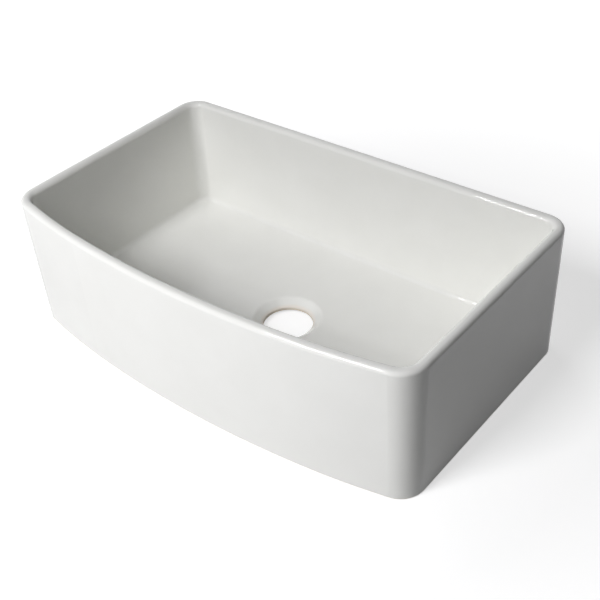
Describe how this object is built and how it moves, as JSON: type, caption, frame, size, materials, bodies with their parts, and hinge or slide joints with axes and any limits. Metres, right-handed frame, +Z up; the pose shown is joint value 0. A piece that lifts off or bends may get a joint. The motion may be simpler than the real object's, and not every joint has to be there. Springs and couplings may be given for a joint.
{
  "type": "farmhouse apron front sink",
  "caption": "Deep farmhouse kitchen sink in white glazed fireclay, with a gently bowed apron front, thick rounded rim and a floor that falls to a dished drain seat.",
  "frame": {"origin": "centre of the sink's base, on the plane it stands on", "axes": "+X to the right of someone standing at the apron, +Y from the apron towards the wall behind, +Z up out of the bowl"},
  "size_m": [0.8378, 0.5098, 0.254],
  "materials": {
    "fireclay": "unglazed, matte, slightly gritty buff clay",
    "engobe": "matte white slip",
    "glaze": "smooth glossy white"
  },
  "bodies": {
    "root": {"fireclay_body": "fireclay", "engobe": "engobe", "glaze": "glaze"}
  },
  "joints": []
}
